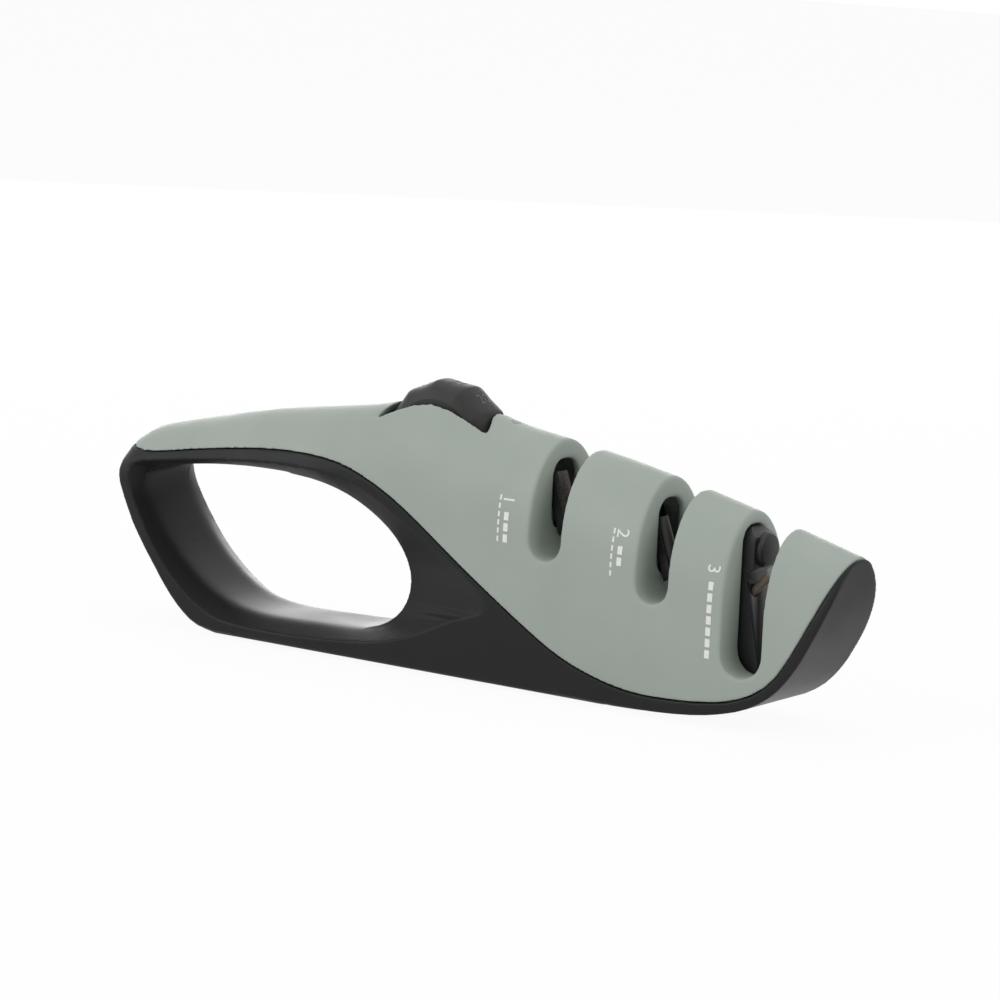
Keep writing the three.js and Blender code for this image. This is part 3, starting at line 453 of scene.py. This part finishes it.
def crown(wheel):
    for corner in wheel.data.vertices:
        x, z = corner.co.x / MM - DIAL_AXLE.x, corner.co.z / MM - DIAL_AXLE.z
        far = math.hypot(x, z)
        rim = min(max((far - DIAL_FACE) / (DIAL_TROUGH - DIAL_FACE), 0), 1)
        turned = math.atan2(z, x)
        scallop = (turned - math.radians(DIAL_CUT)) * 180 / DIAL_STEP
        far += DIAL_FILL * rim * abs(math.cos(scallop))
        far -= DIAL_CROWN * rim * (abs(corner.co.y) / MM / DIAL_HALF) ** 3
        angle = turned + math.radians(DIAL_SET - DIAL_STEP - DIAL_CUT) * rim
        corner.co.x = (DIAL_AXLE.x + far * math.cos(angle)) * MM
        corner.co.z = (DIAL_AXLE.z + far * math.sin(angle)) * MM


def faces_hand_hole(corner):
    across = HOLE_MIDDLE.x - corner.co.x / MM
    up = HOLE_MIDDLE.z - corner.co.z / MM
    inwards = corner.normal.x * across + corner.normal.z * up
    return corner.co.x / MM < HOLE_FRONT and inwards > 0


def off_notches(point):
    gaps = []
    for middle, half, bottom in NOTCHES:
        x, z = point.x / MM - middle, point.z / MM - bottom - half
        gaps.append(abs(math.hypot(x, min(z, 0)) - half))
    return min(gaps)


def past_slot(point):
    ends = math.hypot(point.x / MM - DIAL_AXLE.x, point.z / MM - DIAL_AXLE.z) - SLOT_ROUND
    return ends, abs(point.y) / MM - SLOT_HALF


def off_dial_slot(point):
    return abs(max(past_slot(point)))


def raise_lip(obj):
    for corner in obj.data.vertices:
        ends, side = past_slot(corner.co)
        if ends < 0 and -1 < side < LIP_WIDE:
            swell = (1 + math.cos(math.pi * max(side, 0) / LIP_WIDE)) / 2
            corner.co.z += LIP * swell * min(-ends / LIP_FADE, 1) * MM


def soften(obj, name, gap_to, reach_mm, rounds):
    rims = obj.vertex_groups.new(name=name)
    rims.add([v.index for v in obj.data.vertices if gap_to(v.co) < reach_mm], 1.0, "ADD")
    apply_modifier(obj, "SMOOTH", factor=EASE, iterations=rounds, vertex_group=name)


cover = close_mesh("top_cover", "cover_shell", 9)
even_skin(cover, 35, 120, 5)
soften(cover, "notch_rims", off_notches, 1.7, 14)
raise_lip(cover)
soften(cover, "dial_slot_rim", off_dial_slot, 2.4, 44)
finish_piece(thinned(cover, 0.4), "housing", "cover_green", SAGE, "top_cover")
body = close_mesh("lower_body", "body_shell", 9)
even_skin(body, 30, 140, 5, faces_hand_hole)
finish_piece(thinned(body, 0.36), "housing", "body_black", CHARCOAL, "lower_body")
dial = close_mesh("angle_dial", "dial_wheel", 7)
crown(dial)
even_skin(dial, 65, 24, 3)
finish_piece(thinned(dial, 0.9), "dial", "dial_black", DIAL_BLACK, "angle_dial")


# Small moulded and ground pieces: their solids with eased edges

def eased(source, name, width_mm):
    obj = copy_of(source, name)
    crease = math.radians(CREASE)
    apply_modifier(obj, "BEVEL", width=width_mm * MM, segments=2, limit_method="ANGLE",
                   angle_limit=crease)
    only(obj)
    bpy.ops.object.shade_smooth_by_angle(angle=crease)
    return obj


for side in ("left", "right"):
    finish_piece(eased(f"coarse_arm_{side}", f"coarse_holder_{side}", 0.25), f"coarse_{side}",
                 "mech_black", MECH_BLACK, f"coarse_arm_{side}")
    finish_piece(eased(f"coarse_plate_{side}", f"coarse_stone_{side}", 0.18), f"coarse_{side}",
                 "abrasive", GRIT, f"coarse_plate_{side}")
    finish_piece(eased(f"fine_arm_{side}", f"fine_holder_{side}", 0.25), f"fine_{side}",
                 "mech_black", MECH_BLACK, f"fine_arm_{side}")
    finish_piece(eased(f"fine_rod_{side}", f"fine_stone_{side}", 0.12), f"fine_{side}",
                 "ceramic", CERAMIC, f"fine_rod_{side}")
finish_piece(eased("scissor_holder", "scissor_block", 0.3), "housing",
             "mech_black", MECH_BLACK, "scissor_holder")
finish_piece(eased("scissor_guide", "scissor_button", 0.1), "housing",
             "mech_black", MECH_BLACK, "scissor_guide")
finish_piece(eased("scissor_rod", "scissor_stone", 0.12), "housing",
             "brown_rod", BROWN, "scissor_rod")
finish_piece(eased("base_pad", "grip_pad", 0.4), "housing",
             "pad_rubber", PAD, "base_pad")

# Hidden pieces and screws keep their solids and only get a finish
plain_finishes = {"steel": STEEL, "mech_black": MECH_BLACK}
for entry in frame["record"]["subparts"]:
    if entry["material_slot"] in plain_finishes:
        carried = nodes[entry["node"]]
        carried.data.materials.clear()
        carried.data.materials.append(plain_finishes[entry["material_slot"]])


# Marks that lie on the moulded skin: plain print numbers and bars on the cover, dial numbers
# drawn in painted highlight, and a pointer drawn in painted shade

def lettering_print_or_highlight(name, text, size_mm, turn, place_mm, *laid):
    bpy.ops.object.select_all(action="DESELECT")
    bpy.ops.object.text_add()
    obj = bpy.context.object
    obj.name = name
    obj.data.body = text
    obj.data.size = size_mm * MM
    obj.data.align_x = "CENTER"
    obj.data.align_y = "CENTER"
    obj.data.resolution_u = 6
    bpy.ops.object.convert(target="MESH")
    obj.matrix_world = Matrix.Translation(Vector(place_mm) * MM) @ turn.to_4x4()
    bpy.ops.object.transform_apply(location=True, rotation=True, scale=True)
    return lay_on(obj, *laid)


def lay_on(obj, onto, method, body_name, slot, material):
    only(obj)
    bpy.ops.object.mode_set(mode="EDIT")
    bpy.ops.mesh.select_all(action="SELECT")
    bpy.ops.mesh.remove_doubles(threshold=WELD)
    bpy.ops.mesh.quads_convert_to_tris()
    bpy.ops.mesh.subdivide(number_cuts=2)
    bpy.ops.object.mode_set(mode="OBJECT")
    apply_modifier(obj, "SHRINKWRAP", target=onto, offset=MARK_LIFT * MM, **method)
    apply_modifier(obj, "SOLIDIFY", thickness=MARK_THICK * MM, offset=1.0)
    only(obj)
    bpy.ops.object.shade_smooth_by_angle(angle=math.radians(MARK_CREASE))
    return finish_piece(obj, body_name, slot, material)


TO_SIDE = {"wrap_method": "PROJECT", "use_project_y": True, "use_positive_direction": True,
           "use_negative_direction": False}
TO_TOP = {"wrap_method": "PROJECT", "use_project_z": True, "use_positive_direction": False,
          "use_negative_direction": True}
TO_RIM = {"wrap_method": "NEAREST_SURFACEPOINT", "wrap_mode": "ABOVE_SURFACE"}
SIDEWAYS = Matrix(((0, 1, 0), (0, 0, -1), (-1, 0, 0)))


def stage_bar(name, x_mm, low_mm, high_mm, wide_mm):
    bpy.ops.object.select_all(action="DESELECT")
    bpy.ops.mesh.primitive_plane_add(size=1)
    obj = bpy.context.object
    obj.name = name
    middle = Vector((x_mm, PRINT_PLANE, (low_mm + high_mm) / 2))
    obj.matrix_world = (Matrix.Translation(middle * MM)
                        @ Matrix.Rotation(math.pi / 2, 4, "X")
                        @ Matrix.Diagonal((wide_mm * MM, (high_mm - low_mm) * MM, 1, 1)))
    bpy.ops.object.transform_apply(location=True, rotation=True, scale=True)
    bpy.ops.object.mode_set(mode="EDIT")
    bpy.ops.mesh.select_all(action="SELECT")
    bpy.ops.mesh.subdivide(number_cuts=6)
    bpy.ops.object.mode_set(mode="OBJECT")
    return lay_on(obj, cover, TO_SIDE, "housing", "cover_green", COVER_INK)


# Number, place along the length, height, bars; a stage with fine bars has a second row
for number, x, top, bars, fine_bars in (("1", 17.4, 46.6, 3, FINE_BAR_COUNT),
                                        ("2", 50.2, 42.6, 2, FINE_BAR_COUNT),
                                        ("3", 75.4, 37.4, 7, 0)):
    lettering_print_or_highlight(f"stage_number_{number}", number, STAGE_NUMBER_SIZE, SIDEWAYS, (x, PRINT_PLANE, top),
            cover, TO_SIDE, "housing", "cover_green", COVER_INK)
    for k in range(bars):
        high = top - BAR_DROP - k * BAR_STEP
        stage_bar(f"stage_bar_{number}_{k + 1}", x, high - BAR_LONG, high, BAR_WIDE)
    for k in range(fine_bars):
        high = top + FINE_BAR_RISE - k * FINE_BAR_STEP
        stage_bar(f"fine_bar_{number}_{k + 1}", x - FINE_BAR_ASIDE, high - FINE_BAR_LONG, high,
                  FINE_BAR_WIDE)

# The dial's embossed numbers are laid on as flat lighter grey marks: painted highlight for the
# light the raised figures catch
for index, value in enumerate(("14", "16", "18", "20", "22", "24")):
    angle = math.radians(DIAL_SET + (index - 2) * DIAL_STEP)
    out = Vector((math.cos(angle), 0, math.sin(angle)))
    up = Vector((-math.sin(angle), 0, math.cos(angle)))
    turn = Matrix((up.cross(out), up, out)).transposed()
    lettering_print_or_highlight(f"dial_number_{value}", value, DIAL_NUMBER_SIZE, turn,
            DIAL_AXLE + out * (DIAL_TROUGH + DIAL_NUMBER_OUT), dial, TO_RIM,
            "dial", "dial_black", DIAL_NUMBER_HIGHLIGHT)


# The pointer is a moulded outline in the cover's own green, drawn here as a flat darker green
# line: painted shade along its edge
def pointer():
    bpy.ops.object.select_all(action="DESELECT")
    bpy.ops.mesh.primitive_circle_add(vertices=3, radius=POINTER_SIZE * MM, fill_type="NGON",
                                      location=(POINTER_X * MM, 0, ABOVE_ALL * MM),
                                      rotation=(0, 0, math.pi / 2))
    obj = bpy.context.object
    obj.name = "dial_pointer"
    bpy.ops.object.transform_apply(location=True, rotation=True, scale=True)
    bpy.ops.object.mode_set(mode="EDIT")
    bpy.ops.mesh.select_all(action="SELECT")
    bpy.ops.mesh.inset(thickness=POINTER_LINE * MM, use_even_offset=True)
    bpy.ops.mesh.delete(type="FACE")
    bpy.ops.object.mode_set(mode="OBJECT")
    return lay_on(obj, cover, TO_TOP, "housing", "cover_green", POINTER_PAINTED_SHADE)


pointer()


# Camera at the photo's angle, turned a little as the picture is, then floor and lights

def camera():
    around = math.radians(CAMERA_AROUND)
    above = math.radians(CAMERA_ABOVE)
    roll = math.radians(CAMERA_ROLL)
    right = Vector((math.cos(around), math.sin(around), 0))
    back = Vector((math.sin(around) * math.cos(above), -math.cos(around) * math.cos(above),
                   math.sin(above)))
    up = back.cross(right)
    side = right * math.cos(roll) + up * math.sin(roll)
    top = up * math.cos(roll) - right * math.sin(roll)
    data = bpy.data.cameras.new("photo_camera")
    data.sensor_width = SENSOR_WIDE
    data.lens = CAMERA_FOCAL / PICTURE_WIDE * SENSOR_WIDE
    data.clip_end = 50
    obj = bpy.data.objects.new("photo_camera", data)
    bpy.context.scene.collection.objects.link(obj)
    turn = Matrix((side, top, back)).transposed().to_4x4()
    obj.matrix_world = Matrix.Translation(CAMERA_PLACE * MM) @ turn
    bpy.context.scene.camera = obj


def seen_rays(tree):
    path = tree.nodes.new("ShaderNodeLightPath")
    most = path.outputs["Is Camera Ray"]
    for ray in ("Is Glossy Ray", "Is Transmission Ray"):
        either = node(tree, "ShaderNodeMath", [(0, most), (1, path.outputs[ray])],
                      operation="MAXIMUM")
        most = either.outputs[0]
    return most


def floor():
    bpy.ops.object.select_all(action="DESELECT")
    bpy.ops.mesh.primitive_plane_add(size=8, location=(0, 0, -FLOOR_DROP * MM))
    obj = bpy.context.object
    obj.name = "floor"
    made = bpy.data.materials.new("white_floor")
    made.use_nodes = True
    tree = made.node_tree
    tree.nodes.clear()
    out = tree.nodes.new("ShaderNodeOutputMaterial")
    matt = node(tree, "ShaderNodeBsdfDiffuse", Color=(0.92, 0.92, 0.92, 1))
    glow = node(tree, "ShaderNodeEmission", Color=(1, 1, 1, 1), Strength=1.0)
    clear = tree.nodes.new("ShaderNodeBsdfTransparent")
    under = tree.nodes.new("ShaderNodeNewGeometry").outputs["Backfacing"]
    share = node(tree, "ShaderNodeMath", [(0, seen_rays(tree))], operation="MULTIPLY")
    share.inputs[1].default_value = FLOOR_GLOW
    mix = node(tree, "ShaderNodeMixShader",
               [(0, share.outputs[0]), (1, matt.outputs[0]), (2, glow.outputs[0])])
    sheet = node(tree, "ShaderNodeMixShader",
                 [(0, under), (1, mix.outputs[0]), (2, clear.outputs[0])])
    tree.links.new(sheet.outputs[0], out.inputs["Surface"])
    obj.data.materials.append(made)


def softbox(name, place, target, width, height, power):
    data = bpy.data.lights.new(name, "AREA")
    data.shape = "RECTANGLE"
    data.size = width
    data.size_y = height
    data.energy = power
    obj = bpy.data.objects.new(name, data)
    bpy.context.scene.collection.objects.link(obj)
    obj.location = place
    aim = Vector(target) - Vector(place)
    obj.rotation_euler = aim.to_track_quat("-Z", "Y").to_euler()
    obj.visible_camera = False


def studio():
    world = bpy.data.worlds.new("studio")
    bpy.context.scene.world = world
    world.use_nodes = True
    tree = world.node_tree
    tree.nodes.clear()
    out = tree.nodes.new("ShaderNodeOutputWorld")
    room = node(tree, "ShaderNodeBackground", Color=(1, 1, 1, 1), Strength=0.5)
    white = node(tree, "ShaderNodeBackground", Color=(1, 1, 1, 1), Strength=1.0)
    mix = node(tree, "ShaderNodeMixShader",
               [(0, seen_rays(tree)), (1, room.outputs[0]), (2, white.outputs[0])])
    tree.links.new(mix.outputs[0], out.inputs["Surface"])
    softbox("overhead", (-0.1, 0.1, 1.3), (0, 0, 0.03), 1.4, 1.2, 4.2)
    softbox("behind", (-0.75, 1.05, 0.28), (0, 0, 0.03), 1.2, 0.5, 7)
    softbox("near_side", (-0.9, -1.2, 0.8), (0, 0, 0.03), 1.0, 0.8, 7.8)
    softbox("nose_side", (1.3, -0.2, 0.6), (0.05, 0, 0.03), 0.8, 0.8, 4.2)
    bpy.context.scene.view_settings.view_transform = "Standard"


camera()
floor()
studio()
